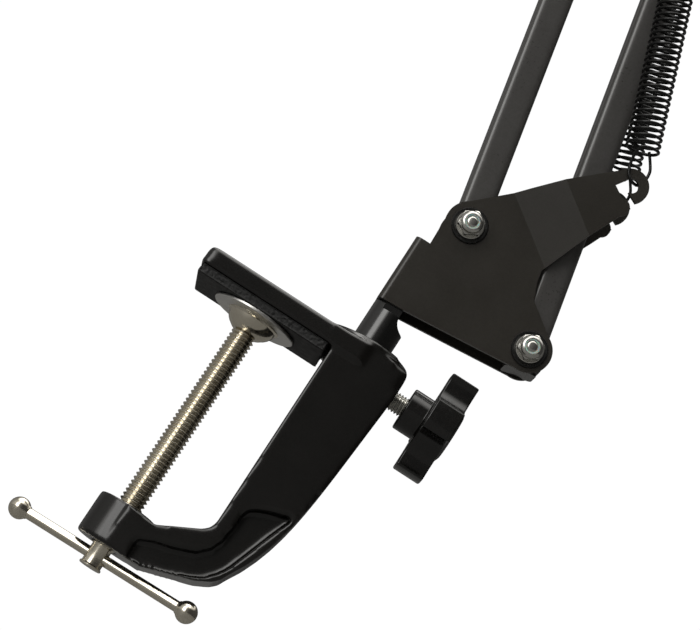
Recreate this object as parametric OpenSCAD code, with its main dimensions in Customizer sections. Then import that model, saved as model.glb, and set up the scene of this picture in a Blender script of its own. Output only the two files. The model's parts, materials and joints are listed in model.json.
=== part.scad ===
// Spring-balanced boom arm stand for a microphone, with its desk clamp.
// Millimetres, +Z up, +X from the clamp screw towards the spine, -Y the nut side.
// Origin: the clamp screw's axis at the underside of the jaw's rubber pad.

/* [Clamp] */
// Clear height from the rubber pad down to the screw boss
throat = 85.7; // [60:0.1:110]
// Distance from the screw axis to the inner face of the spine
reach = 30.3; // [24:0.1:45]
// Width of the jaw across the desk edge (Y)
jaw_width = 34; // [26:0.1:50]
// Length of the jaw in front of the screw axis
jaw_nose = 27.7; // [20:0.1:40]
// Thickness of the jaw plate
jaw_thick = 8; // [6:0.1:12]
// Thickness of the rubber pad
pad_thick = 3.8; // [2:0.1:6]
// Diameter of the clamp screw
screw_d = 10; // [8:0.1:14]
// Diameter of the pressure disc
disc_d = 34.7; // [24:0.1:45]
// Diameter of the sliding handle bar
bar_d = 4.3; // [3:0.1:6]
// Diameter of the balls on the handle bar
ball_d = 8.5; // [7:0.1:12]

/* [Swivel and lock] */
// Diameter of the swivel post
post_d = 16; // [12:0.1:22]
// Diameter of the lock screw
lock_d = 8; // [6:0.1:10]
// Diameter over the lobes of the lock knob
knob_d = 42.6; // [30:0.1:55]
// Height of the lock screw above the pad plane
lock_z = 2.1; // [-4:0.1:4]

/* [Arms] */
// Pivot to pivot length of both arms
arm_length = 345; // [250:1:450]
// Width of the square tubes
tube_w = 12.7; // [10:0.1:16]
// Wall of the square tubes
tube_wall = 1; // [0.8:0.1:2]
// Lean of the lower arm to the left of vertical
lower_lean = 11.2; // [0:0.5:25]
// Lean of the upper arm to the left of vertical
upper_lean = 65; // [45:0.5:80]
// Thickness of the folded sheet and of the side plates
sheet = 1.6; // [1.2:0.1:2.5]
// Diameter of the pivot bolts
bolt_d = 5; // [4:0.1:6]

/* [Springs] */
// Outside diameter of the springs
spring_d = 14; // [10:0.1:16]
// Diameter of the spring wire
wire_d = 1.25; // [0.9:0.05:1.8]
// Distance from the lower arm's main pivot up to its spring pin
lower_pin_at = 185; // [150:1:230]
// Distance from the upper arm's main pivot up to its spring pin
upper_pin_at = 120; // [100:1:150]

/* [Head] */
// Diameter of the microphone thread
thread_d = 15.88; // [9.5:0.01:22]
// Length of the microphone thread
thread_len = 14; // [8:0.1:25]

/* [Hidden] */
$fn = 64;
e = 0.01;                        // overshoot of a cut
run = 0.05;                      // radial clearance of a running fit
gap = 0.1;                       // clearance between stacked faces

black = [0.04, 0.04, 0.042];
plastic = [0.03, 0.03, 0.032];
rubber = [0.06, 0.06, 0.06];
nickel = [0.78, 0.75, 0.7];
zinc = [0.72, 0.72, 0.7];
nylon = [0.8, 0.86, 0.84];

// ---- clamp ----
jaw_top = pad_thick + jaw_thick;
boss_r = 16;                     // socket boss
boss_x = reach + 14;             // its axis, a little outside the post's
boss_top = jaw_top + 2.6;
post_x = reach + 12;             // swivel axis
post_r = post_d / 2;
spine_out = boss_x + boss_r;     // outer face at the top
socket_floor = -20;
nut_boss_r = screw_d / 2 + 6.7;
nut_boss_h = 16.9;
frame_low = -throat - nut_boss_h;
arm_y = nut_boss_r + 0.3;        // half width of the lower arm's end
pocket_y = 9.6;                  // half width left between the two pockets
heel_z = -throat * 1.03;         // where the spine turns into the lower arm

// ---- clamp screw and handle ----
disc_t = 1.2;
disc_top = -0.2;
cup_h = 6;
cup_low = disc_top - disc_t - cup_h;
hub_r = screw_d / 2 - 1;
hub_low = frame_low - 9.2;
bar_z = frame_low - 4.35;
bar_turn = -12;                  // the handle's angle about the screw axis
bar_right = 39.7;                // screw axis to the two balls' centres
bar_left = 34.7;

// ---- lock screw ----
lock_r = lock_d / 2;
shoe_len = 3;
shoe_x = post_x + post_r + run;
collar_x = spine_out + 5.3;
collar_len = 8.5;
collar_r = lock_r + 4.6;
knob_x = collar_x + collar_len;
knob_len = 11.5;
knob_r = knob_d / 2;
knob_waist = 0.56 * knob_r;      // radius left between two lobes
lobe_half = 17;                  // half angle of a lobe's tip

// ---- pivots (X, Z) ----
left_base = [post_x + 6.8, 73.8];
right_base = [post_x + 51, 45.5];
plate_in = tube_w / 2 + 0.55;    // inner face of every side plate
plate_out = plate_in + sheet;
ear_out = plate_out + 8.5;       // outer face of the flared ears
ear_mid = ear_out - sheet / 2;
eye = [post_x + 50.3, 119.4];    // centre of the bracket's spring hooks
hook = eye + [0.8, 1.6];         // where the lower springs' loops pull

function along(lean, s) = [-s * sin(lean), s * cos(lean)];

elbow_left = left_base + along(lower_lean, arm_length);
elbow_right = right_base + along(lower_lean, arm_length);
upper_main_base = elbow_left + [30, 24];
upper_link_base = upper_main_base + [18.8, 35.3];
elbow_hook = elbow_left + [60, 80];
head_main = upper_main_base + along(upper_lean, arm_length);
head_link = upper_link_base + along(upper_lean, arm_length);
tilt_pivot = head_main + [-26, -4];
lower_pin = right_base + along(lower_lean, lower_pin_at);
upper_pin = upper_main_base + along(upper_lean, upper_pin_at);

// ---- fold of the base bracket ----
tab_x = post_x - post_r;         // outer face of the web
tab_low = 31.4;
tab_high = 59.4;
fold_r = sheet + 0.8;

// ---- flare of the bracket's ears ----
flare_lean = 36.5;               // slope of the two bend lines, down to the right
flare_1 = 109.6;                 // distances of the bend lines from the origin
flare_2 = 128.2;

// ---- fasteners ----
bolt_r = bolt_d / 2;
ring_r = 7.2;                    // black dished ring under each washer
ring_t = 0.8;
washer_r = bolt_d * 1.1;
washer_t = 1;
nut_flat = bolt_d * 1.6;
nut_h = 4;
insert_h = 1.3;
bush_r = bolt_r + 1.5;
flange_r = bolt_r + 3.5;
flange_t = 0.45;
tail = 7.3;                      // tube beyond a pivot
plug_t = 0.9;
pin_r = 2.5;
pin_head_r = 4;
wire_r = wire_d / 2;
coil_in = spring_d / 2 - wire_d - 0.1;
rim = spring_d / 2 - wire_r - 0.05;  // circle of the coil's wire

// ================= helpers =================

// A flat outline in X and Z, given thickness from y0 to y1
module slab(y0, y1) {
    rotate([90, 0, 0]) translate([0, 0, -y1]) linear_extrude(y1 - y0) children();
}

// The same slab on both sides of the middle plane
module both(y0, y1) {
    slab(-y1, -y0) children();
    slab(y0, y1) children();
}

// A round bar along Y through point p
module rod(p, r, y0, y1) {
    translate([p[0], y0, p[1]]) rotate([-90, 0, 0]) cylinder(r = r, h = y1 - y0);
}

// The same bar on both sides of the middle plane
module rods(p, r, y0, y1) {
    rod(p, r, -y1, -y0);
    rod(p, r, y0, y1);
}

// Round wire from a to b with a ball at b
module wire(a, b) {
    d = b - a;
    len = norm(d);
    translate(a)
        rotate([0, acos(d[2] / len), atan2(d[1], d[0])])
            cylinder(r = wire_r, h = len, $fn = 20);
    translate(b) sphere(r = wire_r, $fn = 20);
}

// Square with round corners
module round_square(w, d, r) {
    square([w - 2 * r, d], center = true);
    square([w, d - 2 * r], center = true);
    for (x = [-1, 1], y = [-1, 1])
        translate([x * (w / 2 - r), y * (d / 2 - r)]) circle(r = r);
}

// Outline with a round end of radius r about every listed centre
module round_plate(centres, r) {
    polygon(centres);
    for (i = [0 : len(centres) - 1]) {
        a = centres[i];
        b = centres[(i + 1) % len(centres)];
        d = b - a;
        translate(a) circle(r = r);
        translate(a) rotate(atan2(d[1], d[0])) translate([0, 0.05 - r])
            square([norm(d), 2 * r - 0.1]);
    }
}

// ================= clamp frame =================

// Outer edge of the spine at height z: nearly straight, then curving in
function spine_edge(z) = spine_out - 0.072 * -z - 7.6 * pow(-z / (throat - 1.7), 5);

module frame_outline() {
    steps = 14;
    heel = spine_edge(heel_z);
    polygon(concat(
        [[reach, jaw_top], [spine_out, jaw_top]],
        [for (i = [0 : steps]) let (z = heel_z * i / steps) [spine_edge(z), z]],
        [
            [heel - 1.2, heel_z - 2.6], [heel - 3.6, heel_z - 4.9], [heel - 9, heel_z - 7.8],
            [nut_boss_r + 3, frame_low], [0, frame_low], [0, -throat],
            [nut_boss_r, -throat - 1.3], [reach - 3.2, -throat + 6.8],
            [reach - 1, -throat + 8.8], [reach, -throat + 11.6]
        ]));
}

module pocket_outline() {
    heel = spine_edge(heel_z);
    polygon([
        [heel + 5.4, heel_z + 26.3], [heel - 3.8, heel_z + 23], [heel - 5.2, heel_z + 21],
        [heel - 5.2, heel_z + 10.4], [heel - 7.7, heel_z + 2.7], [heel - 15.4, heel_z - 2.5],
        [nut_boss_r + 3.2, heel_z - 8.1], [nut_boss_r + 3.2, frame_low + 2.6],
        [heel - 9.6, heel_z - 5.5], [heel - 1.9, heel_z + 0.8], [heel + 3, heel_z + 14.2]
    ]);
}

module clamp_frame() {
    spine_y = boss_r;
    color(black) difference() {
        union() {
            // spine and lower arm, narrowing towards the screw boss
            intersection() {
                slab(-spine_y, spine_y) frame_outline();
                rotate([90, 0, 90]) linear_extrude(2 * spine_out)
                    polygon([
                        [-spine_y, boss_top], [-spine_y, -throat / 2], [-arm_y, frame_low - e],
                        [arm_y, frame_low - e], [spine_y, -throat / 2], [spine_y, boss_top]
                    ]);
            }
            // screw boss
            translate([0, 0, frame_low]) cylinder(r = nut_boss_r, h = nut_boss_h);
            // jaw plate
            translate([(boss_x - jaw_nose) / 2, 0, pad_thick]) linear_extrude(jaw_thick)
                round_square(boss_x + jaw_nose, jaw_width, 3);
            // socket boss
            translate([boss_x, 0, pad_thick]) cylinder(r = boss_r, h = boss_top - pad_thick);
        }
        for (s = [-1, 1])
            slab(s > 0 ? pocket_y : -boss_r - 1, s > 0 ? boss_r + 1 : -pocket_y) pocket_outline();
        // tapped hole of the clamp screw
        translate([0, 0, frame_low - 1]) cylinder(r = screw_d / 2 + run, h = nut_boss_h + 2);
        // socket for the post, and the lock screw's hole
        translate([post_x, 0, socket_floor + 2]) cylinder(r = post_r + run, h = 60);
        translate([post_x, 0, lock_z]) rotate([0, 90, 0]) cylinder(r = lock_r + run, h = 40);
    }
}

module jaw_pad() {
    color(rubber) translate([(reach - 1.4 - jaw_nose + 0.8) / 2, 0, 0]) linear_extrude(pad_thick)
        round_square(reach - 1.4 + jaw_nose - 0.8, jaw_width - 0.6, 2);
}

// ================= clamp screw =================

module pressure_disc() {
    color(nickel) translate([0, 0, disc_top - disc_t]) cylinder(r = disc_d / 2, h = disc_t);
}

module pressure_cup() {
    neck_r = screw_d / 2 + 1;
    color(nickel) difference() {
        union() {
            translate([0, 0, disc_top - disc_t - 2]) cylinder(r = 2 * neck_r - 2, h = 2);
            translate([0, 0, cup_low + 1])
                cylinder(r1 = neck_r, r2 = 2 * neck_r - 2, h = cup_h - 3);
            translate([0, 0, cup_low]) cylinder(r = neck_r, h = 1);
        }
        translate([0, 0, cup_low - 1]) cylinder(r = screw_d / 2 - 1 + run, h = cup_h - 0.5);
    }
}

module clamp_screw() {
    color(nickel) difference() {
        union() {
            translate([0, 0, frame_low - 0.5]) cylinder(r = screw_d / 2, h = cup_low - frame_low + 0.2);
            translate([0, 0, hub_low]) cylinder(r = hub_r, h = 10);
            // tip turning in the cup
            translate([0, 0, cup_low - 1]) cylinder(r = screw_d / 2 - 1, h = cup_h - 0.8);
        }
        rotate([0, 0, bar_turn]) translate([-20, 0, bar_z]) rotate([0, 90, 0])
            cylinder(r = bar_d / 2 + run, h = 40);
    }
}

module handle_bar() {
    color(nickel) rotate([0, 0, bar_turn]) translate([-bar_left + ball_d / 2 - 1, 0, bar_z])
        rotate([0, 90, 0]) cylinder(r = bar_d / 2, h = bar_left + bar_right - ball_d + 2);
}

module handle_balls() {
    color(nickel) rotate([0, 0, bar_turn]) difference() {
        for (x = [-bar_left, bar_right]) translate([x, 0, bar_z]) sphere(d = ball_d);
        translate([-bar_left + ball_d / 2 - 1 - gap, 0, bar_z]) rotate([0, 90, 0])
            cylinder(r = bar_d / 2 + 0.02, h = bar_left + bar_right - ball_d + 2 + 2 * gap);
    }
}

// ================= lock screw =================

module lock_shoe() {
    color(nylon) translate([shoe_x, 0, lock_z]) rotate([0, 90, 0])
        cylinder(r = lock_r - 0.6, h = shoe_len);
}

module lock_stud() {
    color(zinc) translate([shoe_x + shoe_len + gap, 0, lock_z]) rotate([0, 90, 0])
        cylinder(r = lock_r, h = collar_x + 9 - shoe_x - shoe_len);
}

module lock_knob() {
    // a circle that leaves the waist and meets the rim at the lobes' edges
    notch_x = (knob_r * knob_r - knob_waist * knob_waist)
        / (2 * (knob_r * cos(45 - lobe_half) - knob_waist));
    color(plastic) difference() {
        union() {
            translate([collar_x, 0, lock_z]) rotate([0, 90, 0])
                cylinder(r = collar_r, h = collar_len + 1);
            translate([knob_x, 0, lock_z]) rotate([0, 90, 0]) linear_extrude(knob_len)
                difference() {
                    circle(r = knob_r);
                    for (a = [45 : 90 : 315]) rotate(a) translate([notch_x, 0])
                        circle(r = notch_x - knob_waist);
                }
            // low crown on the outer face
            translate([knob_x + knob_len, 0, lock_z]) rotate([0, 90, 0])
                cylinder(r1 = knob_waist - 0.5, r2 = knob_waist - 3, h = 1);
        }
        translate([collar_x - 1, 0, lock_z]) rotate([0, 90, 0]) cylinder(r = lock_r + 0.02, h = 10.2);
    }
}

// ================= base bracket =================

// Outline of one side of the folded bracket, without the fold itself
module bracket_outline() {
    up = left_base;
    low = right_base;
    difference() {
        union() {
            polygon([
                [tab_x + fold_r + 0.5, tab_low], [post_x + 3, tab_low + 0.4], low + [0.9, -8.8], low,
                low + [4.6, 7.55], low + [-8.2, 17], low + [-9.5, 19.8], low + [-11, 23.8],
                low + [-12, 28.8], low + [-3.6, 49.4], low + [0.1, 57.4], low + [3.7, 66],
                eye + [0.8, -7], eye + [-5.4, -3], eye + [-1.7, 2.6],
                eye + [-0.8, 1.2], eye + [-3.4, 6.1],
                up + [12.3, 25.4], up + [-6.3, 7.1], up,
                up + [-9.5, 0], [up[0] - 9, tab_high], [tab_x + fold_r + 0.5, tab_high]
            ]);
            translate(up) circle(r = 9.7);
            translate(low) circle(r = 9);
            // round shoulder beside the hook's mouth
            translate(eye + [0.8, -9.4]) circle(r = 3.6);
            // hook over the springs' end loops
            translate(eye) difference() {
                circle(r = 7);
                circle(r = 2.9);
                polygon([[0, 0], [-12, 2.6], [-12, -10], [8, -10], [4.6, -5], [-1, -2.2]]);
            }
            polygon([eye + [-7.2, 4], eye + [-3.4, 2.8], eye + [-1.3, 6.5], eye + [-3.4, 6.1]]);
        }
        translate(up) circle(r = bolt_r + 0.02);
        translate(low) circle(r = bolt_r + 0.02);
    }
}

// Cross-section of the front side along the flare: flat, sloping, flat
module flare_section() {
    polygon([
        [-200, plate_in], [flare_1, plate_in], [flare_2, ear_out - sheet], [200, ear_out - sheet],
        [200, ear_out], [flare_2, ear_out], [flare_1, plate_out], [-200, plate_out]
    ]);
}

module bracket_side(s) {
    intersection() {
        slab(-30, 30) bracket_outline();
        rotate([0, flare_lean - 90, 0]) scale([1, s, 1]) translate([0, 0, -200])
            linear_extrude(400) flare_section();
    }
}

// The web and both folds of the U, as a slice of a square tube; its flanges end
// just inside the two sides
module bracket_fold() {
    w = 20;
    inset = 0.02;
    translate([tab_x + w / 2, 0, tab_low + inset])
        linear_extrude(tab_high - tab_low - 2 * inset) difference() {
            intersection() {
                round_square(w, 2 * (plate_out - inset), fold_r);
                translate([-w, -w]) square([w / 2 + fold_r + 1.5, 2 * w]);
            }
            round_square(w - 2 * sheet, 2 * (plate_in + inset), fold_r - sheet);
        }
}

module base_bracket() {
    color(black) union() {
        bracket_side(-1);
        bracket_side(1);
        bracket_fold();
    }
}

module swivel_post() {
    flat_x = post_x + 3.2;       // right face of the neck
    scoop = post_x + post_r - flat_x;
    color(plastic) intersection() {
        translate([post_x, 0, socket_floor + 2.2]) cylinder(r = post_r, h = 56 - socket_floor - 2.2);
        difference() {
            translate([0, -20, socket_floor]) cube([120, 40, 100]);
            // scoop on the right, above the socket
            rod([flat_x + scoop, 24.1 + scoop], scoop, -20, 20);
            translate([flat_x, -20, 24.1 + scoop]) cube([40, 40, 60]);
            // step behind the bracket's web, and flats inside its sides
            translate([0, -20, 31.3]) cube([post_x - post_r + sheet + 0.05, 40, 60]);
            for (y = [plate_in - 0.05, -20]) translate([0, y, 28.6])
                cube([120, 20 - plate_in + 0.05, 60]);
        }
    }
}

// ================= fasteners =================

module rings(points) {
    color(black) difference() {
        for (p = points) rods(p, ring_r, plate_out, plate_out + ring_t);
        for (p = points) rod(p, bolt_r + 0.02, -60, 60);
    }
}

module washers(points) {
    y = plate_out + ring_t;
    color(zinc) difference() {
        for (p = points) rods(p, washer_r, y, y + washer_t);
        for (p = points) rod(p, bolt_r + 0.02, -60, 60);
    }
}

nut_y = plate_out + ring_t + washer_t;

module bolts(points) {
    color(zinc) for (p = points) {
        rod(p, bolt_r, -nut_y - nut_h - insert_h + 0.4, nut_y + 1);
        translate([p[0], nut_y, p[1]]) rotate([-90, 0, 0])
            cylinder(r = nut_flat / 2 / cos(30), h = 3.5, $fn = 6);
    }
}

module nuts(points) {
    color(zinc) difference() {
        for (p = points) translate([p[0], -nut_y, p[1]]) rotate([90, 0, 0])
            cylinder(r = nut_flat / 2 / cos(30), h = nut_h, $fn = 6);
        for (p = points) rod(p, bolt_r + 0.02, -60, 60);
    }
}

module inserts(points) {
    y = nut_y + nut_h;
    color(nylon) difference() {
        for (p = points) rod(p, nut_flat * 0.45, -y - insert_h, -y);
        for (p = points) rod(p, bolt_r + 0.02, -60, 60);
    }
}

base_points = [left_base, right_base];
elbow_points = [elbow_left, elbow_right, upper_main_base, upper_link_base];
head_points = [head_main, head_link, tilt_pivot];

// ================= arms =================

// Place children with the origin on pivot p and +Z along an arm that leans left
module on_arm(p, lean) {
    translate([p[0], 0, p[1]]) rotate([0, -lean, 0]) children();
}

module tube(pin_at) {
    color(black) difference() {
        translate([0, 0, -tail]) linear_extrude(arm_length + 2 * tail) difference() {
            round_square(tube_w, tube_w, 2);
            round_square(tube_w - 2 * tube_wall, tube_w - 2 * tube_wall, 1);
        }
        for (z = [0, arm_length]) rod([0, z], bush_r + 0.02, -20, 20);
        if (pin_at > 0) rod([0, pin_at], pin_r + 0.02, -20, 20);
    }
}

module bushes() {
    color(plastic) difference() {
        for (z = [0, arm_length]) {
            rod([0, z], bush_r, -tube_w / 2 - e, tube_w / 2 + e);
            rods([0, z], flange_r, tube_w / 2, tube_w / 2 + flange_t);
        }
        for (z = [0, arm_length]) rod([0, z], bolt_r + run, -20, 20);
    }
}

module plugs() {
    stub = tube_w - 2 * tube_wall - 0.05;
    color(plastic) for (end = [0, 1])
        translate([0, 0, end * arm_length]) scale([1, 1, end > 0 ? 1 : -1]) {
            translate([0, 0, tail]) linear_extrude(plug_t) round_square(tube_w, tube_w, 2);
            translate([0, 0, bush_r + 0.5]) linear_extrude(tail - bush_r - 0.5)
                round_square(stub, stub, 1);
        }
}

// Headed cross pin that two springs pull on
module spring_pin(p) {
    color(zinc) {
        rod(p, pin_r, -ear_mid - 2, ear_mid + 2);
        rods(p, pin_head_r, ear_mid + 2, ear_mid + 3.4);
    }
}

// ================= springs =================

// Closed ring around a pin along Y, with a straight shank to the coil's rim
module pin_loop() {
    ring = pin_r + wire_r + gap;
    rotate([90, 0, 0]) rotate_extrude() translate([ring, 0]) circle(r = wire_r, $fn = 20);
    wire([0, 0, ring], [0, 0, 7]);
    wire([0, 0, 7], [rim, 0, 13]);
}

// Loop through the bracket's hook, one strand on each side of the sheet
module hook_loop() {
    side = sheet / 2 + wire_r + gap;
    translate([0, side, 0]) sphere(r = wire_r, $fn = 20);
    wire([0, side, 0], [0, -side, 0]);
    for (s = [-1, 1]) {
        wire([0, s * side, 0], [0, s * side, 8]);
        wire([0, s * side, 8], [0, s * rim, 16]);
    }
}

// Spring from point a to point b at depth y; its coil is shown as a sleeve
module spring(a, b, y, hooked) {
    d = b - a;
    start = hooked ? 15 : 12;
    len = norm(d);
    color(black) translate([a[0], y, a[1]]) rotate([0, atan2(d[0], d[1]), 0]) {
        rotate(25) difference() {
            translate([0, 0, start]) cylinder(r = spring_d / 2, h = len - 12 - start);
            translate([0, 0, start - 1]) cylinder(r = coil_in, h = len);
        }
        if (hooked) hook_loop();
        else pin_loop();
        translate([0, 0, len]) scale([1, 1, -1]) pin_loop();
    }
}

// ================= elbow and head =================

module side_plates(centres, points, r) {
    color(black) both(plate_in, plate_out) difference() {
        round_plate(centres, r);
        for (p = points) translate(p) circle(r = bolt_r + 0.02);
    }
}

module elbow_plates() {
    side_plates([elbow_left, elbow_right, upper_link_base + [4, 0], elbow_hook],
        concat(elbow_points, [elbow_hook]), 9.7);
}

module head_plates() {
    side_plates([tilt_pivot, head_main + [2, -2], head_link], head_points, 9);
}

module tilt_block() {
    half = plate_in - gap;
    color(plastic) translate([tilt_pivot[0], 0, tilt_pivot[1]]) difference() {
        union() {
            rod([0, 0], 8, -half, half);
            translate([-19, 0, 0]) rotate([0, 90, 0]) cylinder(r = 5.5, h = 19);
        }
        rod([0, 0], bolt_r + run, -20, 20);
    }
}

module thread_collar() {
    color(nickel) translate([tilt_pivot[0] - 23, 0, tilt_pivot[1]]) rotate([0, 90, 0])
        cylinder(r = thread_d / 2 + 2.5, h = 4);
}

module mic_thread() {
    color(nickel) translate([tilt_pivot[0] - 23 - thread_len, 0, tilt_pivot[1]])
        rotate([0, 90, 0]) difference() {
            cylinder(r = thread_d / 2, h = thread_len);
            translate([0, 0, -1]) cylinder(r = thread_d / 4, h = 11);
        }
}

module base_rings() { rings(base_points); }
module base_washers() { washers(base_points); }
module base_bolts() { bolts(base_points); }
module base_nuts() { nuts(base_points); }
module base_inserts() { inserts(base_points); }

module lower_main_tube() { on_arm(right_base, lower_lean) tube(lower_pin_at); }
module lower_main_bushes() { on_arm(right_base, lower_lean) bushes(); }
module lower_main_plugs() { on_arm(right_base, lower_lean) plugs(); }
module lower_spring_pin() { spring_pin(lower_pin); }
module lower_link_tube() { on_arm(left_base, lower_lean) tube(0); }
module lower_link_bushes() { on_arm(left_base, lower_lean) bushes(); }
module lower_link_plugs() { on_arm(left_base, lower_lean) plugs(); }
module lower_spring_front() { spring(hook, lower_pin, -ear_mid, true); }
module lower_spring_rear() { spring(hook, lower_pin, ear_mid, true); }

module elbow_rings() { rings(elbow_points); }
module elbow_washers() { washers(elbow_points); }
module elbow_bolts() { bolts(elbow_points); }
module elbow_nuts() { nuts(elbow_points); }
module elbow_inserts() { inserts(elbow_points); }
module elbow_spring_pin() { spring_pin(elbow_hook); }

module upper_main_tube() { on_arm(upper_main_base, upper_lean) tube(upper_pin_at); }
module upper_main_bushes() { on_arm(upper_main_base, upper_lean) bushes(); }
module upper_main_plugs() { on_arm(upper_main_base, upper_lean) plugs(); }
module upper_spring_pin() { spring_pin(upper_pin); }
module upper_link_tube() { on_arm(upper_link_base, upper_lean) tube(0); }
module upper_link_bushes() { on_arm(upper_link_base, upper_lean) bushes(); }
module upper_link_plugs() { on_arm(upper_link_base, upper_lean) plugs(); }
module upper_spring_front() { spring(elbow_hook, upper_pin, -ear_mid, false); }
module upper_spring_rear() { spring(elbow_hook, upper_pin, ear_mid, false); }

module head_rings() { rings(head_points); }
module head_washers() { washers(head_points); }
module head_bolts() { bolts(head_points); }
module head_nuts() { nuts(head_points); }
module head_inserts() { inserts(head_points); }

clamp_frame();
jaw_pad();
pressure_disc();
pressure_cup();
clamp_screw();
handle_bar();
handle_balls();
lock_shoe();
lock_stud();
lock_knob();
base_bracket();
swivel_post();
base_rings();
base_washers();
base_bolts();
base_nuts();
base_inserts();
lower_main_tube();
lower_main_bushes();
lower_main_plugs();
lower_spring_pin();
lower_link_tube();
lower_link_bushes();
lower_link_plugs();
lower_spring_front();
lower_spring_rear();
elbow_plates();
elbow_rings();
elbow_washers();
elbow_bolts();
elbow_nuts();
elbow_inserts();
elbow_spring_pin();
upper_main_tube();
upper_main_bushes();
upper_main_plugs();
upper_spring_pin();
upper_link_tube();
upper_link_bushes();
upper_link_plugs();
upper_spring_front();
upper_spring_rear();
head_plates();
head_rings();
head_washers();
head_bolts();
head_nuts();
head_inserts();
tilt_block();
thread_collar();
mic_thread();
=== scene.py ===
import json
import math

import bpy
from mathutils import Matrix, Vector


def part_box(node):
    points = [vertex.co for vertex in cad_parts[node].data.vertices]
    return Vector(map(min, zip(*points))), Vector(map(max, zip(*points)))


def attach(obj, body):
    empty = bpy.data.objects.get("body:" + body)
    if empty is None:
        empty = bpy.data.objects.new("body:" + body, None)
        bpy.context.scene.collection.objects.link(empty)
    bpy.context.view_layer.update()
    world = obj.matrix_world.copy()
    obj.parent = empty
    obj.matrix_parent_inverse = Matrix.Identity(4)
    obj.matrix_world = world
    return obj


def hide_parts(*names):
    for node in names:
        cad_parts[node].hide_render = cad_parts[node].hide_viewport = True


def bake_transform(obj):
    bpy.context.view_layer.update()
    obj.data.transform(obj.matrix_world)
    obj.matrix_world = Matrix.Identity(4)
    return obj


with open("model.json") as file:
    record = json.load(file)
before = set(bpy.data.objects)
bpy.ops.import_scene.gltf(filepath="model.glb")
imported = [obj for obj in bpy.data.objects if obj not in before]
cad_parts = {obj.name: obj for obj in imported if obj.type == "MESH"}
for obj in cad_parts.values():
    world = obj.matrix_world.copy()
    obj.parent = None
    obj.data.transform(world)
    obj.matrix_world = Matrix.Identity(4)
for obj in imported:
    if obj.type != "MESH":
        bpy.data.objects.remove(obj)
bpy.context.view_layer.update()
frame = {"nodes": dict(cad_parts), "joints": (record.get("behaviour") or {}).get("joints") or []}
cad = frame["nodes"]
joints = {joint["name"]: joint for joint in frame["joints"]}
scene = bpy.context.scene
MM = 0.001

# The studio. White paper stands behind the stand and the floor lies well below the
# clamp. The walls glow on the left and overhead only, which draws long soft lights
# on the black and leaves the right-hand edges dark.
lens = bpy.data.cameras.new("camera")
lens.lens = 111.55
lens.sensor_width = 36
lens.clip_end = 50
camera = bpy.data.objects.new("camera", lens)
scene.collection.objects.link(camera)
eye = Vector((0.0473, -0.8, -0.17))
ahead = (Vector((0.0293, 0, 0.021)) - eye).normalized()
across = ahead.cross(Vector((0, 0, 1))).normalized()
upright = Matrix((across, across.cross(ahead), -ahead)).transposed().to_4x4()
lean = Matrix.Rotation(math.radians(33.2), 4, "Z")
camera.matrix_world = Matrix.Translation(eye) @ upright @ lean
scene.camera = camera
scene.view_settings.view_transform = "Standard"

room = bpy.data.worlds.new("white_room")
room.use_nodes = True
scene.world = room
node = room.node_tree.nodes.new
wire = room.node_tree.links.new
paper = room.node_tree.nodes["Background"]
paper.inputs["Color"].default_value = (1, 1, 1, 1)
paper.inputs["Strength"].default_value = 1.02
glow = node("ShaderNodeBackground")
glow.inputs["Color"].default_value = (1, 0.985, 0.95, 1)
way = node("ShaderNodeTexCoord")
parts = node("ShaderNodeSeparateXYZ")
wire(way.outputs["Generated"], parts.inputs[0])
front = node("ShaderNodeMath")
front.operation = "MULTIPLY"
front.inputs[1].default_value = -1
wire(parts.outputs["Y"], front.inputs[0])
bearing = node("ShaderNodeMath")
bearing.operation = "ARCTAN2"
wire(parts.outputs["X"], bearing.inputs[0])
wire(front.outputs[0], bearing.inputs[1])
turn = node("ShaderNodeMapRange")
turn.inputs["From Min"].default_value = -math.pi
turn.inputs["From Max"].default_value = math.pi
wire(bearing.outputs[0], turn.inputs["Value"])
height = node("ShaderNodeMapRange")
height.inputs["From Min"].default_value = 0.72
height.inputs["From Max"].default_value = 0.92
wire(parts.outputs["Z"], height.inputs["Value"])
dome = node("ShaderNodeMix")
wire(height.outputs[0], dome.inputs["Factor"])
# Each mark is a bearing in degrees, with 0 towards the camera and -90 on its left, and
# how bright the wall or the ceiling is there.
walls = ((-180, 0.02), (-110, 0.08), (-70, 0.14), (-56, 0.16), (-46, 0.66), (-27, 0.66),
         (-14, 0.05), (25, 0.015))
ceiling = ((-180, 1.0), (-90, 1.0), (-10, 0.9), (40, 0.3), (110, 0.4))
for socket, marks in (("A", walls), ("B", ceiling)):
    ring = node("ShaderNodeValToRGB")
    ring.color_ramp.interpolation = "EASE"
    for degrees, value in marks[1:]:
        mark = ring.color_ramp.elements.new((degrees + 180) / 360)
        mark.color = (value, value, value, 1)
    behind = (marks[0][1],) * 3 + (1,)
    ring.color_ramp.elements[0].color = behind
    ring.color_ramp.elements[-1].color = behind
    wire(turn.outputs[0], ring.inputs["Fac"])
    wire(ring.outputs["Color"], dome.inputs[socket])
power = node("ShaderNodeMath")
power.operation = "MULTIPLY"
power.inputs[1].default_value = 3.0
wire(dome.outputs["Result"], power.inputs[0])
wire(power.outputs[0], glow.inputs["Strength"])
seen = node("ShaderNodeLightPath")
either = node("ShaderNodeMixShader")
wire(seen.outputs["Is Camera Ray"], either.inputs["Fac"])
wire(glow.outputs[0], either.inputs[1])
wire(paper.outputs[0], either.inputs[2])
wire(either.outputs[0], room.node_tree.nodes["World Output"].inputs["Surface"])

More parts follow.
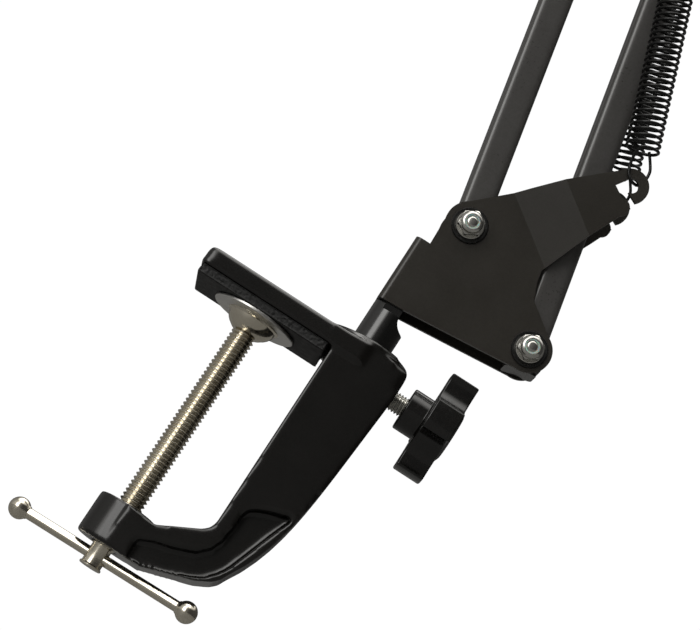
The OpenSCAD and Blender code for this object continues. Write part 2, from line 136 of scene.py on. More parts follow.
bpy.ops.object.select_all(action="DESELECT")
bpy.ops.object.light_add(type="AREA", location=(-0.85, -1.15, 0.3))
soft_box = bpy.context.object
soft_box.name = "soft_box"
aim = Vector((0.03, 0, 0.02)) - soft_box.location
soft_box.rotation_euler = aim.to_track_quat("-Z", "Z").to_euler()
soft_box.data.shape = "RECTANGLE"
soft_box.data.size = 0.55
soft_box.data.size_y = 1.1
soft_box.data.energy = 2.6


def grain_group():
    """Fine grain and broad patches, for the colour, the gloss and the relief of a finish."""
    group = bpy.data.node_groups.new("grain", "ShaderNodeTree")
    face = group.interface
    for name, value in (("Grain", 800.0), ("Patch", 40.0)):
        face.new_socket(name, in_out="INPUT", socket_type="NodeSocketFloat").default_value = value
    face.new_socket("Stretch", in_out="INPUT", socket_type="NodeSocketVector").default_value = (1, 1, 1)
    for name in ("Dark", "Light"):
        face.new_socket(name, in_out="INPUT", socket_type="NodeSocketColor")
    for name in ("Smooth", "Rough"):
        face.new_socket(name, in_out="INPUT", socket_type="NodeSocketFloat")
    face.new_socket("Color", in_out="OUTPUT", socket_type="NodeSocketColor")
    face.new_socket("Roughness", in_out="OUTPUT", socket_type="NodeSocketFloat")
    face.new_socket("Height", in_out="OUTPUT", socket_type="NodeSocketFloat")
    make, join = group.nodes.new, group.links.new
    into = make("NodeGroupInput")
    out = make("NodeGroupOutput")
    place = make("ShaderNodeTexCoord")
    turn = make("ShaderNodeMapping")
    join(place.outputs["Object"], turn.inputs["Vector"])
    join(into.outputs["Stretch"], turn.inputs["Scale"])
    fine = make("ShaderNodeTexNoise")
    fine.inputs["Detail"].default_value = 3
    broad = make("ShaderNodeTexNoise")
    broad.inputs["Detail"].default_value = 5
    for noise, scale in ((fine, "Grain"), (broad, "Patch")):
        join(turn.outputs[0], noise.inputs["Vector"])
        join(into.outputs[scale], noise.inputs["Scale"])
    both = make("ShaderNodeMath")
    both.operation = "ADD"
    join(fine.outputs["Fac"], both.inputs[0])
    join(broad.outputs["Fac"], both.inputs[1])
    share = make("ShaderNodeMapRange")
    share.inputs["From Min"].default_value = 0.7
    share.inputs["From Max"].default_value = 1.3
    join(both.outputs[0], share.inputs["Value"])
    colour = make("ShaderNodeMix")
    colour.data_type = "RGBA"
    join(share.outputs[0], colour.inputs["Factor"])
    join(into.outputs["Dark"], colour.inputs["A"])
    join(into.outputs["Light"], colour.inputs["B"])
    gloss = make("ShaderNodeMapRange")
    join(share.outputs[0], gloss.inputs["Value"])
    join(into.outputs["Smooth"], gloss.inputs["To Min"])
    join(into.outputs["Rough"], gloss.inputs["To Max"])
    join(colour.outputs["Result"], out.inputs["Color"])
    join(gloss.outputs[0], out.inputs["Roughness"])
    join(fine.outputs["Fac"], out.inputs["Height"])
    return group


grain = grain_group()


def finish(name, dark, light, smooth, rough, metal=0.0, fine=800, patch=40,
           stretch=(1, 1, 1), relief=0.00002, coat=0.0, light_in=0.0):
    """A finish whose colour, gloss and relief vary with the grain."""
    material = bpy.data.materials.new(name)
    material.use_nodes = True
    tree = material.node_tree
    skin = tree.nodes["Principled BSDF"]
    made = tree.nodes.new("ShaderNodeGroup")
    made.node_tree = grain
    made.inputs["Grain"].default_value = fine
    made.inputs["Patch"].default_value = patch
    made.inputs["Stretch"].default_value = stretch
    made.inputs["Dark"].default_value = (*dark, 1)
    made.inputs["Light"].default_value = (*light, 1)
    made.inputs["Smooth"].default_value = smooth
    made.inputs["Rough"].default_value = rough
    bump = tree.nodes.new("ShaderNodeBump")
    bump.inputs["Strength"].default_value = 0.6
    bump.inputs["Distance"].default_value = relief
    tree.links.new(made.outputs["Height"], bump.inputs["Height"])
    tree.links.new(bump.outputs[0], skin.inputs["Normal"])
    tree.links.new(made.outputs["Color"], skin.inputs["Base Color"])
    tree.links.new(made.outputs["Roughness"], skin.inputs["Roughness"])
    skin.inputs["Metallic"].default_value = metal
    skin.inputs["Coat Weight"].default_value = coat
    skin.inputs["Coat Roughness"].default_value = 0.08
    skin.inputs["Subsurface Weight"].default_value = light_in
    skin.inputs["Subsurface Scale"].default_value = 0.001
    return material


bpy.ops.object.select_all(action="DESELECT")
bpy.ops.mesh.primitive_circle_add(vertices=64, radius=6, fill_type="NGON", location=(0, 0, -0.3))
floor = bpy.context.object
floor.name = "floor"
# The floor is dark where the stand mirrors it, and pale to the camera.
pale_floor = finish("pale_floor", (0.14, 0.14, 0.138), (0.17, 0.17, 0.168), 0.6, 0.7, fine=60, patch=4)
floor.data.materials.append(pale_floor)
tree = pale_floor.node_tree
seen = tree.nodes.new("ShaderNodeLightPath")
lift = tree.nodes.new("ShaderNodeMix")
lift.data_type = "RGBA"
lift.inputs["B"].default_value = (0.86, 0.86, 0.85, 1)
floor_colour = tree.nodes["Principled BSDF"].inputs["Base Color"]
tree.links.new(floor_colour.links[0].from_socket, lift.inputs["A"])
tree.links.new(seen.outputs["Is Camera Ray"], lift.inputs["Factor"])
tree.links.new(lift.outputs["Result"], floor_colour)


# The clamp frame: one iron casting, coated in satin black powder. Every outer edge is
# cast round, and the jaw runs up into the socket boss in a soft shoulder.
def alone(piece):
    """Selects one piece and nothing else."""
    bpy.ops.object.select_all(action="DESELECT")
    piece.select_set(True)
    bpy.context.view_layer.objects.active = piece


def press(piece, kind, **settings):
    """Puts one modifier on a piece and applies it."""
    alone(piece)
    step = piece.modifiers.new(kind.lower(), kind)
    for key, value in settings.items():
        setattr(step, key, value)
    bpy.ops.object.modifier_apply(modifier=step.name)


def blank(name, node):
    """A blank to work on: a closed copy of a CAD node's shape."""
    piece = bpy.data.objects.new(name, cad[node].data.copy())
    scene.collection.objects.link(piece)
    piece.data.materials.clear()
    alone(piece)
    bpy.ops.mesh.customdata_custom_splitnormals_clear()
    bpy.ops.object.mode_set(mode="EDIT")
    bpy.ops.mesh.select_all(action="SELECT")
    bpy.ops.mesh.remove_doubles(threshold=0.001 * MM)
    bpy.ops.mesh.dissolve_limited(angle_limit=math.radians(0.4))
    bpy.ops.object.mode_set(mode="OBJECT")
    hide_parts(node)
    return piece


def paint(piece, material, body=None):
    """Gives a piece its finish and the body that it moves with."""
    piece.data.materials.clear()
    piece.data.materials.append(material)
    if body:
        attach(piece, body)


def trace(name, points, closed=False):
    """Draws an outline by extruding one corner after another."""
    bpy.ops.object.select_all(action="DESELECT")
    bpy.ops.mesh.primitive_plane_add(size=MM)
    piece = bpy.context.object
    piece.name = name
    bpy.ops.object.mode_set(mode="EDIT")
    bpy.ops.mesh.merge(type="CENTER")
    bpy.ops.transform.translate(value=points[0])
    for here, there in zip(points, points[1:]):
        step = Vector(there) - Vector(here)
        bpy.ops.mesh.extrude_vertices_move(TRANSFORM_OT_translate={"value": step})
    if closed:
        bpy.ops.mesh.select_all(action="SELECT")
        bpy.ops.mesh.edge_face_add()
    bpy.ops.object.mode_set(mode="OBJECT")
    return piece


def bar_of(name, outline, way):
    """A solid bar: an outline pushed along a line."""
    piece = trace(name, outline, True)
    bpy.ops.object.mode_set(mode="EDIT")
    bpy.ops.mesh.select_all(action="SELECT")
    bpy.ops.mesh.extrude_region_move(TRANSFORM_OT_translate={"value": way})
    bpy.ops.mesh.select_all(action="SELECT")
    bpy.ops.mesh.normals_make_consistent(inside=False)
    bpy.ops.object.mode_set(mode="OBJECT")
    return piece


powder_coat = finish("powder_coat", (0.0026, 0.0022, 0.0016), (0.0045, 0.0039, 0.003), 0.19, 0.25,
                     fine=1400, patch=60, relief=0.000004, coat=0.3)
pocket_floor = 9.4
voxel = 0.66
casting = blank("cast_frame", "clamp_frame")
bpy.ops.object.select_all(action="DESELECT")
bpy.ops.mesh.primitive_cone_add(vertices=64, radius1=19.5 * MM, radius2=14.5 * MM, depth=2.6 * MM,
                                location=(40.7 * MM, 0, 13.05 * MM), scale=(1, 0.86, 1))
shoulder = bpy.context.object
bpy.ops.object.transform_apply()
press(casting, "BOOLEAN", operation="UNION", object=shoulder, solver="EXACT")
bpy.data.objects.remove(shoulder)
# The outline of the pocket cored in each side of the lower arm, as X and Z in mm.
pocket = [(9.6, -94.8), (15.1, -92.2), (22.8, -90.1), (29.9, -87.2), (33.6, -83.5), (35.6, -79.0),
          (36.4, -72.8), (36.6, -67.2), (37.6, -64.4), (40.0, -62.5), (44.3, -60.6), (51.8, -58.2),
          (52.9, -59.5), (50.0, -66.2), (46.8, -75.4), (43.6, -84.5), (40.8, -89.6), (37.3, -93.5),
          (32.8, -95.9), (25.6, -98.8), (14.8, -102.2), (9.6, -102.4)]
for side in (-1, 1):
    rim = [(x * MM, side * pocket_floor * MM, z * MM) for x, z in pocket]
    hollow = bar_of("hollow", rim, (0, side * 9 * MM, 0))
    press(casting, "BOOLEAN", operation="DIFFERENCE", object=hollow, solver="EXACT")
    bpy.data.objects.remove(hollow)
press(casting, "REMESH", mode="VOXEL", voxel_size=voxel * MM)
press(casting, "SMOOTH", factor=0.5, iterations=14)
# The end of the jaw and the outer corner of the boss are cast rounder than the rest.
corners = casting.data.vertices
jaw_end = [v.index for v in corners if v.co.z > 6 * MM and v.co.x < 27 * MM]
boss_end = [v.index for v in corners if v.co.z > 2 * MM and v.co.x > 53.5 * MM]
for name, chosen, passes in (("jaw", jaw_end, 40), ("boss", boss_end, 90)):
    casting.vertex_groups.new(name=name).add(chosen, 1.0, "REPLACE")
    press(casting, "SMOOTH", factor=0.5, iterations=passes,
          vertex_group=name)
alone(casting)
bpy.ops.object.shade_smooth()
paint(casting, powder_coat, "clamp")

# The rubber pad: a slab cut from sheet and glued under the jaw. The knife leaves its
# sides rough, while its face is smooth.
rubber = finish("rubber", (0.004, 0.004, 0.0042), (0.009, 0.009, 0.009), 0.5, 0.75, fine=2000, patch=300,
                relief=0.0002)
pad_low, pad_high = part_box("jaw_pad")
pad_size = pad_high - pad_low
bpy.ops.object.select_all(action="DESELECT")
bpy.ops.mesh.primitive_cube_add(size=1, location=(pad_low + pad_high) / 2, scale=pad_size)
pad = bpy.context.object
pad.name = "rubber_pad"
bpy.ops.object.transform_apply()
press(pad, "BEVEL", width=0.45 * MM, segments=2, limit_method="ANGLE")
press(pad, "REMESH", mode="VOXEL", voxel_size=0.5 * MM)
sides = pad.vertex_groups.new(name="sides")
sides.add([v.index for v in pad.data.vertices if abs(v.normal.z) < 0.5], 1.0, "REPLACE")
knife = bpy.data.textures.new("knife_marks", "CLOUDS")
knife.noise_scale = 0.8 * MM
press(pad, "DISPLACE", texture=knife, texture_coords="GLOBAL", strength=1.1 * MM, mid_level=0.8,
      vertex_group="sides")
alone(pad)
bpy.ops.object.shade_smooth_by_angle(angle=math.radians(40))
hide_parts("jaw_pad")
paint(pad, rubber, "clamp")


# The pressure foot: a thin stamped disc with a cup riveted under it, both bright
# nickel. The screw's tip turns in the cup, and the disc takes the desk.
def turned(name, profile, centre=(0, 0, 0), axis="Z", steps=64, ring=False):
    """A turned piece: the profile gives its distance along the axis and its radius, in mm."""
    along = {"X": Vector((1, 0, 0)), "Y": Vector((0, 1, 0)), "Z": Vector((0, 0, 1))}[axis]
    out = Vector((0, 0, 1)) if axis == "X" else Vector((1, 0, 0))
    points = [Vector(centre) * MM + along * d * MM + out * r * MM for d, r in profile]
    if ring:
        points.append(points[0])
    piece = trace(name, points)
    bpy.ops.object.mode_set(mode="EDIT")
    bpy.ops.mesh.select_all(action="SELECT")
    bpy.ops.mesh.spin(steps=steps, angle=math.tau, center=Vector(centre) * MM, axis=along)
    bpy.ops.mesh.select_all(action="SELECT")
    bpy.ops.mesh.remove_doubles(threshold=0.002 * MM)
    bpy.ops.mesh.normals_make_consistent(inside=False)
    bpy.ops.object.mode_set(mode="OBJECT")
    alone(piece)
    bpy.ops.object.shade_smooth_by_angle(angle=math.radians(35))
    return piece


nickel = finish("nickel", (0.72, 0.66, 0.54), (0.88, 0.83, 0.71), 0.12, 0.2, metal=1.0, fine=1500,
                patch=120, relief=0.000002)
dull_nickel = finish("dull_nickel", (0.7, 0.69, 0.67), (0.82, 0.81, 0.78), 0.3, 0.42, metal=1.0, fine=900,
                     patch=90, relief=0.000008)
foot = turned("pressure_disc_plate", [
    (-0.2, 0), (-0.2, 16.9), (-0.35, 17.25), (-0.7, 17.35), (-1.1, 17.3), (-1.4, 17.0),
    (-1.25, 15.8), (-1.2, 12), (-1.4, 10.6), (-1.4, 0)], steps=96)
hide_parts("pressure_disc")
paint(foot, dull_nickel, "pressure_pad")
cup = turned("pressure_cup_shell", [
    (-1.3, 0), (-1.3, 10.9), (-1.6, 11.0), (-1.9, 10.6), (-2.1, 10.1), (-2.8, 9.9), (-3.8, 9.5),
    (-4.8, 8.8), (-5.7, 7.9), (-6.5, 6.8), (-7.1, 6.0), (-7.4, 5.4), (-7.4, 4.6), (-7.1, 4.15),
    (-3.4, 4.15), (-3.4, 0)], steps=96)
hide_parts("pressure_cup")
paint(cup, nickel, "pressure_pad")


# The clamp screw: steel bar with a rolled thread of 1.75 mm pitch, nickel plated. Its
# plain end below the boss is drilled across for the handle bar.
def threaded(name, radius, root, pitch, low, high):
    """A rolled thread round Z: one tooth, wound up and cut off square at both ends."""
    sunk = root - 0.4
    tooth = [(sunk, 0.04), (root, 0.07), (radius - 0.05, 0.43), (radius, 0.47), (radius, 0.53),
             (radius - 0.05, 0.57), (root, 0.93), (sunk, 0.96), (sunk, 0.04)]
    first = low - pitch
    piece = trace(name, [(r * MM, 0, (first + z * pitch) * MM) for r, z in tooth])
    turns = math.ceil((high - low) / pitch) + 2
    press(piece, "SCREW", axis="Z", screw_offset=pitch * MM, iterations=turns, steps=28, render_steps=28,
          use_merge_vertices=True, merge_threshold=0.001 * MM)
    bpy.ops.object.mode_set(mode="EDIT")
    bpy.ops.mesh.select_all(action="SELECT")
    bpy.ops.mesh.remove_doubles(threshold=0.001 * MM)
    bpy.ops.mesh.fill_holes(sides=0)
    for height, way in ((low, -1), (high, 1)):
        bpy.ops.mesh.select_all(action="SELECT")
        bpy.ops.mesh.bisect(plane_co=(0, 0, height * MM), plane_no=(0, 0, way), use_fill=True,
                            clear_outer=True)
    bpy.ops.mesh.select_all(action="SELECT")
    bpy.ops.mesh.normals_make_consistent(inside=False)
    bpy.ops.object.mode_set(mode="OBJECT")
    alone(piece)
    bpy.ops.object.shade_smooth_by_angle(angle=math.radians(40))
    return piece


def join(name, *pieces):
    """Makes several pieces one."""
    bpy.ops.object.select_all(action="DESELECT")
    for piece in pieces:
        piece.select_set(True)
    bpy.context.view_layer.objects.active = pieces[0]
    bpy.ops.object.join()
    pieces[0].name = name
    return pieces[0]


bar_z = -106.95
bar_turn = math.radians(-12)
thread_low, thread_high = -103.0, -8.0
stem = turned("stem", [
    (-111.8, 0), (-111.8, 4.1), (-111.6, 4.45), (-111.1, 4.5), (-110.8, 4.3), (-110.6, 4.0),
    (-103.6, 4.0), (-103.2, 4.12), (thread_high, 4.12), (-7.6, 4.0), (-3.9, 4.0), (-3.7, 3.8), (-3.7, 0)])
bpy.ops.object.select_all(action="DESELECT")
bpy.ops.mesh.primitive_cylinder_add(vertices=48, radius=2.25 * MM, depth=30 * MM,
                                    location=(0, 0, bar_z * MM), rotation=(0, math.pi / 2, bar_turn))
drill = bpy.context.object
bpy.ops.object.transform_apply()
press(stem, "BOOLEAN", operation="DIFFERENCE", object=drill, solver="EXACT")
bpy.data.objects.remove(drill)
alone(stem)
bpy.ops.object.shade_smooth_by_angle(angle=math.radians(35))
clamp_thread = threaded("clamp_thread", 5.0, 4.1, 1.75, thread_low, thread_high)
clamp_screw = join("clamp_screw_threaded", stem, clamp_thread)
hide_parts("clamp_screw")
paint(clamp_screw, nickel, "screw")


# The sliding handle: a nickel plated bar with a ball pressed on each end, so that it
# cannot fall out of the screw.
def swung(piece, centre, angle, axis):
    """Turns a piece about a point."""
    alone(piece)
    bpy.ops.object.mode_set(mode="EDIT")
    bpy.ops.mesh.select_all(action="SELECT")
    bpy.ops.transform.rotate(value=-angle, orient_axis=axis, orient_type="GLOBAL",
                             center_override=Vector(centre) * MM)
    bpy.ops.object.mode_set(mode="OBJECT")


def shifted(piece, step):
    """Moves a whole piece, in metres."""
    alone(piece)
    bpy.ops.object.mode_set(mode="EDIT")
    bpy.ops.mesh.select_all(action="SELECT")
    bpy.ops.transform.translate(value=step)
    bpy.ops.object.mode_set(mode="OBJECT")


def ball_profile(centre, way):
    """The profile of a ball with a short neck towards the bar."""
    radius = 4.25
    rim = []
    for degrees in range(0, 141, 10):
        a = math.radians(degrees)
        rim.append((centre + way * radius * math.cos(a), radius * math.sin(a)))
    neck = [(3.45, 2.62), (3.8, 2.5), (3.95, 2.3), (3.95, 0)]
    return rim + [(centre - way * d, r) for d, r in neck]


bar = turned("handle_rod", [(-32.5, 0), (-32.5, 2.15), (37.5, 2.15), (37.5, 0)], (0, 0, bar_z), "X", 40)
swung(bar, (0, 0, bar_z), bar_turn, "Z")
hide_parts("handle_bar")
paint(bar, nickel, "handle")
left_ball = turned("left_ball", ball_profile(-34.7, -1), (0, 0, bar_z), "X", 56)
right_ball = turned("right_ball", ball_profile(39.7, 1), (0, 0, bar_z), "X", 56)
balls = join("handle_end_balls", left_ball, right_ball)
swung(balls, (0, 0, bar_z), bar_turn, "Z")
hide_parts("handle_balls")
paint(balls, nickel, "handle")

# The lock screw: a zinc plated stud of 8 mm moulded into a four-lobed knob, pushing a
# nylon shoe against the post.
lock_z = joints["lock_turn"]["pos_m"][2] / MM
zinc = finish("zinc", (0.6, 0.59, 0.55), (0.7, 0.69, 0.65), 0.16, 0.24, metal=1.0, fine=1800, patch=200,
              relief=0.000001)
nylon = finish("nylon", (0.45, 0.6, 0.56), (0.62, 0.74, 0.7), 0.35, 0.5, fine=900, patch=120, light_in=0.4)


def dress(node, material):
    """Gives a CAD node its finish."""
    cad[node].data.materials.clear()
    cad[node].data.materials.append(material)


dress("lock_shoe", nylon)
stud_core = turned("stud_core", [(53.45, 0), (53.45, 3.0), (54.2, 3.35), (74.4, 3.35), (74.4, 0)],
                   (0, 0, lock_z), "X")
stud_thread = threaded("stud_thread", 4.0, 3.3, 1.25, 54.0, 74.4)
swung(stud_thread, (0, 0, 0), math.pi / 2, "Y")
shifted(stud_thread, (0, 0, lock_z * MM))
stud = join("lock_stud_threaded", stud_core, stud_thread)
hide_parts("lock_stud")
paint(stud, zinc, "knob")
gloss_plastic = finish("gloss_plastic", (0.003, 0.0028, 0.0024), (0.006, 0.0055, 0.0047), 0.14, 0.26,
                       fine=700, patch=60, relief=0.00001, coat=0.3)


def eased(piece, width, segments=3, angle=30):
    """Rounds the edges of a piece that meet at more than the angle."""
    press(piece, "BEVEL", width=width * MM, segments=segments, limit_method="ANGLE",
          angle_limit=math.radians(angle), use_clamp_overlap=True, miter_outer="MITER_ARC")
    alone(piece)
    bpy.ops.object.shade_smooth_by_angle(angle=math.radians(38))
    press(piece, "WEIGHTED_NORMAL", keep_sharp=True, weight=60)


grip = blank("lock_knob_grip", "lock_knob")
eased(grip, 0.7)
paint(grip, gloss_plastic, "knob")

# The swivel post: turned steel in gloss black. It stands in the frame's socket and is
# milled away above it, where the bracket is welded round its neck.
gloss_black = finish("gloss_black", (0.003, 0.003, 0.0029), (0.005, 0.005, 0.0048), 0.18, 0.28, fine=900,
                     patch=70, relief=0.000006, coat=1.0)
post = blank("swivel_post_turned", "swivel_post")
eased(post, 0.5)
paint(post, gloss_black, "bracket")

# The base bracket: one blank of 1.6 mm steel folded to a U round the post, its two
# ears bent outwards to hooks for the springs, and powder coated.
satin_coat = finish("satin_coat", (0.024, 0.021, 0.0165), (0.032, 0.0285, 0.023), 0.28, 0.38, fine=1600,
                    patch=45, relief=0.000008, coat=0.2)
bracket = blank("folded_bracket", "base_bracket")
eased(bracket, 0.5, angle=20)
paint(bracket, satin_coat, "bracket")

# The pivots: a bolt of 5 mm through each pair of plates. From the plate outwards come
# a black dished ring, a zinc washer and a lock nut whose nylon ring grips the bolt.
ring_black = finish("ring_black", (0.005, 0.005, 0.005), (0.01, 0.01, 0.0095), 0.2, 0.34, fine=900, patch=90)
dished_profile = [
    (9.3, 5.4), (9.3, 6.0), (9.45, 6.5), (9.4, 6.9), (9.1, 7.15), (8.7, 7.2), (8.5, 7.15), (8.5, 2.52),
    (9.0, 2.52), (9.05, 5.0)]
washer_profile = [(9.3, 2.52), (9.3, 5.3), (9.45, 5.5), (10.1, 5.5), (10.3, 5.25), (10.3, 2.52)]


def hexagon(name, low, high, chamfer, flats=9.2):
    """A hexagon along Y, with its corners turned off."""
    corner = flats / 2 / math.cos(math.pi / 6)
    bpy.ops.object.select_all(action="DESELECT")
    bpy.ops.mesh.primitive_cylinder_add(vertices=6, radius=corner * MM, depth=(high - low) * MM,
                                        location=(0, (low + high) / 2 * MM, 0),
                                        rotation=(math.pi / 2, 0, 0))
    piece = bpy.context.object
    piece.name = name
    bpy.ops.object.transform_apply()
    tool = turned("tool", chamfer, axis="Y", steps=72)
    press(piece, "BOOLEAN", operation="INTERSECT", object=tool, solver="EXACT")
    bpy.data.objects.remove(tool)
    alone(piece)
    bpy.ops.object.shade_smooth_by_angle(angle=math.radians(25))
    return piece


def both_sides(name, profile):
    """The same ring under the head and under the nut."""
    near = turned("near", [(-d, r) for d, r in profile], axis="Y", ring=True)
    far = turned("far", profile, axis="Y", ring=True)
    return join(name, near, far)


master_ring = both_sides("master_ring", dished_profile)
master_washer = both_sides("master_washer", washer_profile)
nut_hex = hexagon("nut_hex", -13.7, -10.3, [(-14, 0), (-14, 4.2), (-13.7, 4.7), (-13.35, 5.4), (-10.6, 5.4),
                                            (-10.25, 4.7), (-10.25, 0)])
nut_crown = turned("nut_crown", [
    (-13.5, 2.5), (-13.5, 4.4), (-14.1, 4.4), (-14.6, 4.25), (-15.0, 3.95), (-15.25, 3.5),
    (-15.35, 3.1), (-15.2, 2.95), (-14.7, 2.9), (-14.6, 2.5)], axis="Y", ring=True)
master_nut = join("master_nut", nut_hex, nut_crown)
master_insert = turned("master_insert", [
    (-14.4, 2.3), (-14.4, 2.95), (-14.85, 2.95), (-15.05, 2.85), (-15.1, 2.6), (-14.9, 2.3)],
    axis="Y", ring=True)
shank = turned("shank", [
    (-15.3, 0), (-15.25, 1.3), (-15.1, 1.9), (-14.7, 2.3), (-14, 2.5), (11, 2.5), (11, 0)], axis="Y")
head = hexagon("head", 10.3, 13.8, [(10.25, 0), (10.25, 5.4), (13.3, 5.4), (13.8, 4.4), (13.95, 0)])
master_bolt = join("master_bolt", shank, head)


def set_at(name, master, points, node, material, body):
    """Copies a finished piece to every pivot of a group, and makes the copies one piece."""
    copies = []
    for point in points:
        copy = bpy.data.objects.new(name, master.data.copy())
        scene.collection.objects.link(copy)
        shifted(copy, point * MM)
        copies.append(copy)
    piece = join(name, *copies)
    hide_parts(node)
    paint(piece, material, body)


pivot = {name: Vector(joint["pos_m"]) / MM for name, joint in joints.items() if "pos_m" in joint}
lower_reach = pivot["elbow_level"] - pivot["lower_arm"]
upper_reach = pivot["head_level"] - pivot["upper_arm"]
lower_link_end = pivot["lower_link_pivot"] + lower_reach
upper_link_end = pivot["upper_link_pivot"] + upper_reach
base_pivots = [pivot["lower_link_pivot"], pivot["lower_arm"]]
elbow_pivots = [lower_link_end, pivot["elbow_level"], pivot["upper_arm"], pivot["upper_link_pivot"]]
head_pivots = [pivot["head_level"], upper_link_end, pivot["head_tilt"]]
for group, points, body in (("base", base_pivots, "bracket"), ("elbow", elbow_pivots, "elbow"),
                            ("head", head_pivots, "head")):
    set_at(group + "_dished_rings", master_ring, points, group + "_rings", ring_black, body)
    set_at(group + "_zinc_washers", master_washer, points, group + "_washers", zinc, body)
    set_at(group + "_lock_nuts", master_nut, points, group + "_nuts", zinc, body)
    set_at(group + "_nylon_rings", master_insert, points, group + "_inserts", nylon, body)
    set_at(group + "_pivot_bolts", master_bolt, points, group + "_bolts", zinc, body)
for master in (master_ring, master_washer, master_nut, master_insert, master_bolt):
    bpy.data.objects.remove(master)

# The arms: half-inch square steel tube with round corners, in semi-gloss black. A
# moulded plug shuts each end, and plastic bushes run on the bolts.
tube_coat = finish("tube_coat", (0.058, 0.0555, 0.053), (0.074, 0.071, 0.068), 0.26, 0.36, fine=1200,
                   patch=30, relief=0.000004, coat=0.8)
half_tube = 12.7 / 2
squareness = 5.5
spare = 40
outline = []
for k in range(72):
    c, d = math.cos(k * math.tau / 72), math.sin(k * math.tau / 72)
    reach = half_tube / (abs(c) ** squareness + abs(d) ** squareness) ** (1 / squareness)
    outline.append((reach * c, reach * d))
for arm, low_end, run in (("lower_main", pivot["lower_arm"], lower_reach),
                          ("lower_link", pivot["lower_link_pivot"], lower_reach),
                          ("upper_main", pivot["upper_arm"], upper_reach),
                          ("upper_link", pivot["upper_link_pivot"], upper_reach)):
    up = run.normalized()
    out = Vector((up.z, 0, -up.x))
    begin = low_end - up * spare
    drawn = bar_of("drawn", [(begin + out * a + Vector((0, b, 0))) * MM for a, b in outline],
                   up * (run.length + 2 * spare) * MM)
    tube = blank(arm + "_drawn_tube", arm + "_tube")
    press(tube, "BOOLEAN", operation="INTERSECT", object=drawn, solver="EXACT")
    bpy.data.objects.remove(drawn)
    alone(tube)
    bpy.ops.object.shade_smooth_by_angle(angle=math.radians(30))
    paint(tube, tube_coat, arm)
    dress(arm + "_bushes", gloss_plastic)
    dress(arm + "_plugs", gloss_plastic)

# The spring pins: zinc plated pins with a head at each end, through the main tubes and
# the elbow's plates. Two springs pull on each.
for pin in ("lower_spring_pin", "upper_spring_pin", "elbow_spring_pin"):
    dress(pin, zinc)

# The springs: black wire of 1.25 mm wound to 13.9 mm. At each end a loop hangs in the
# bracket's hook or goes round a pin.
spring_black = finish("spring_black", (0.002, 0.002, 0.002), (0.004, 0.0039, 0.0037), 0.2, 0.32, fine=1500,
                      patch=90, relief=0.000008)
wire_radius = 1.25 / 2
coil_radius = 13.9 / 2 - wire_radius
pitch = 2.54
end_loop = 12
hook_loop = 13.5


def eased_line(points, steps=6):
    """Points along a smooth line through the given points."""
    ends = [points[0], *points, points[-1]]
    line = []
    for a, b, c, d in zip(ends, ends[1:], ends[2:], ends[3:]):
        for k in range(steps):
            t = k / steps
            line.append(0.5 * ((2 * b) + (c - a) * t + (2 * a - 5 * b + 4 * c - d) * t * t
                               + (3 * b - a - 3 * c + d) * t ** 3))
    return line + [points[-1]]


def pin_end(length, turn):
    """From the coil's rim to a ring round a pin, at the far end of a spring."""
    ring = 3.225
    lead = [(coil_radius * math.cos(turn), coil_radius * math.sin(turn), length - end_loop),
            (coil_radius * 0.9 * math.cos(turn + 0.5), coil_radius * 0.9 * math.sin(turn + 0.5),
             length - 11.2),
            (3.4, 0.4, length - 6.5), (ring, 0, length - 1.5)]
    for degrees in range(0, 316, 15):
        a = math.radians(degrees)
        lead.append((ring * math.cos(a), 0, length + ring * math.sin(a)))
    return eased_line([Vector(p) for p in lead], 3)


def hook_end():
    """From the loop's free end behind the sheet, through the hook and up to the coil."""
    loop = [(3.0, 1.3, 14.5), (3.9, 1.5, 11.8), (4.9, 1.6, 7.8), (4.7, 1.6, 5.4), (3.9, 1.6, 3.2),
            (2.6, 1.6, 1.3), (1.2, 1.25, 0.2), (0, 0, 0), (-1.1, -1.25, 0), (-2.3, -1.7, 0.9),
            (-3.4, -1.75, 3.0), (-3.75, -1.9, 6.1), (-3.4, -2.9, 9.4), (-2.7, -4.6, 11.9),
            (-1.56, -6.13, hook_loop)]
    return eased_line([Vector(p) for p in loop], 4)


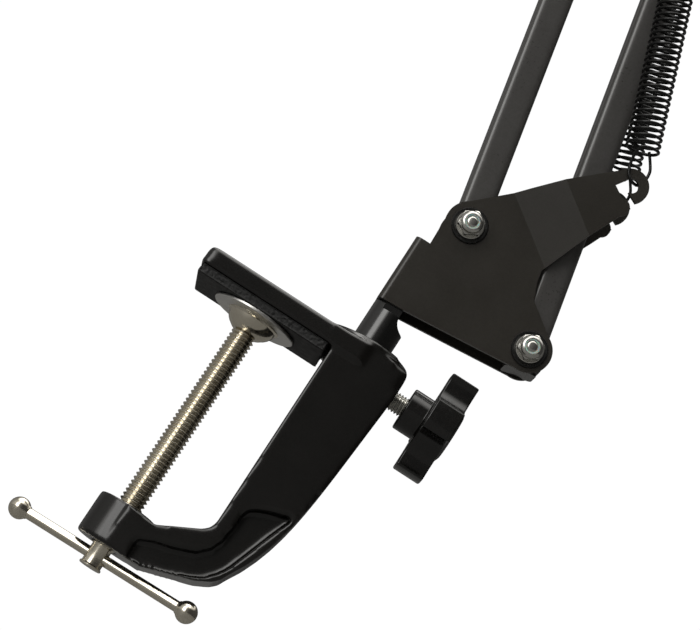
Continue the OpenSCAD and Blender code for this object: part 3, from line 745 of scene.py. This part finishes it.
def spring(name, node, low, high, side, hooked):
    """One spring from low to high, beside the arm."""
    a = Vector((low[0], 0, low[1]))
    b = Vector((high[0], 0, high[1]))
    length = (b - a).length
    up = (b - a).normalized()
    depth_way = Vector((0, 1, 0))
    out = depth_way.cross(up)
    start = hook_loop if hooked else end_loop
    span = length - end_loop - start
    turns = round(span / pitch) + (0.29 if hooked else 0.5)
    first = -math.pi / 2 - 0.25 if hooked else math.pi
    coil = []
    for i in range(int(24 * turns) + 1):
        k = i / (24 * turns)
        turned_by = first + math.tau * turns * k
        coil.append(Vector((coil_radius * math.cos(turned_by), coil_radius * math.sin(turned_by),
                            start + span * k)))
    if hooked:
        line = hook_end() + coil[1:]
    else:
        near = [Vector((-p.x, p.y, length - p.z)) for p in reversed(pin_end(length, 0.0))]
        line = near + coil[1:]
    last = first + math.tau * turns
    line = line + pin_end(length, last % math.tau)[1:]
    path = bpy.data.curves.new(name, "CURVE")
    path.dimensions = "3D"
    path.bevel_depth = wire_radius * MM
    path.bevel_resolution = 2
    path.use_fill_caps = True
    thread = path.splines.new("POLY")
    thread.points.add(len(line) - 1)
    for point, p in zip(thread.points, line):
        place = (a + out * p.x + depth_way * (side + p.y) + up * p.z) * MM
        point.co = (*place, 1)
    wound = bpy.data.objects.new(name, path)
    scene.collection.objects.link(wound)
    alone(wound)
    bpy.ops.object.convert(target="MESH")
    wound = bpy.context.object
    bpy.ops.object.shade_smooth()
    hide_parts(node)
    paint(wound, spring_black)
    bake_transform(wound)


# The hook and the pins that the loops go round, as X and Z in mm.
hook = (93.4, 121.0)
lower_pin = (57.367, 226.979)
elbow_pin = (42.089, 492.23)
upper_pin = (-96.668, 486.944)
from_middle = 16.2
for side, where in ((-from_middle, "front"), (from_middle, "rear")):
    spring("lower_coil_" + where, "lower_spring_" + where, hook, lower_pin, side,
           True)
    spring("upper_coil_" + where, "upper_spring_" + where, elbow_pin, upper_pin, side,
           False)

# The elbow and the head: pairs of laser cut side plates, powder coated like the
# bracket, held apart by the tubes between them.
elbow = blank("elbow_side_plates", "elbow_plates")
eased(elbow, 0.35, 2)
paint(elbow, satin_coat, "elbow")
cheeks = blank("head_side_plates", "head_plates")
eased(cheeks, 0.35, 2)
paint(cheeks, satin_coat, "head")

# The tilting end: a gloss black block on the last bolt, with a nickel collar and the
# 5/8 inch thread, 27 to the inch, that a microphone clip screws on.
tilt = blank("tilting_block", "tilt_block")
eased(tilt, 0.5)
paint(tilt, gloss_black, "tilt")
block_length = 23
tip = pivot["head_tilt"] - Vector((block_length, 0, 0))
collar = turned("thread_shoulder", [
    (0, 0), (0, 9.9), (0.5, 10.44), (1.6, 10.44), (1.9, 10.1), (2.2, 10.44), (3.5, 10.44), (4, 9.9),
    (4, 0)], tip, "X")
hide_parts("thread_collar")
paint(collar, nickel, "tilt")
mic_core = turned("mic_core", [
    (-11, 0), (-11, 3.97), (-13.7, 3.97), (-14, 4.3), (-14, 6.9), (-13.7, 7.2), (0, 7.2), (0, 0)], tip, "X")
mic_thread = threaded("mic_ridges", 7.94, 7.2, 0.9407, 0.1, 13.6)
swung(mic_thread, (0, 0, 0), -math.pi / 2, "Y")
shifted(mic_thread, tip * MM)
spigot = join("mic_thread_spigot", mic_core, mic_thread)
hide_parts("mic_thread")
paint(spigot, nickel, "tilt")
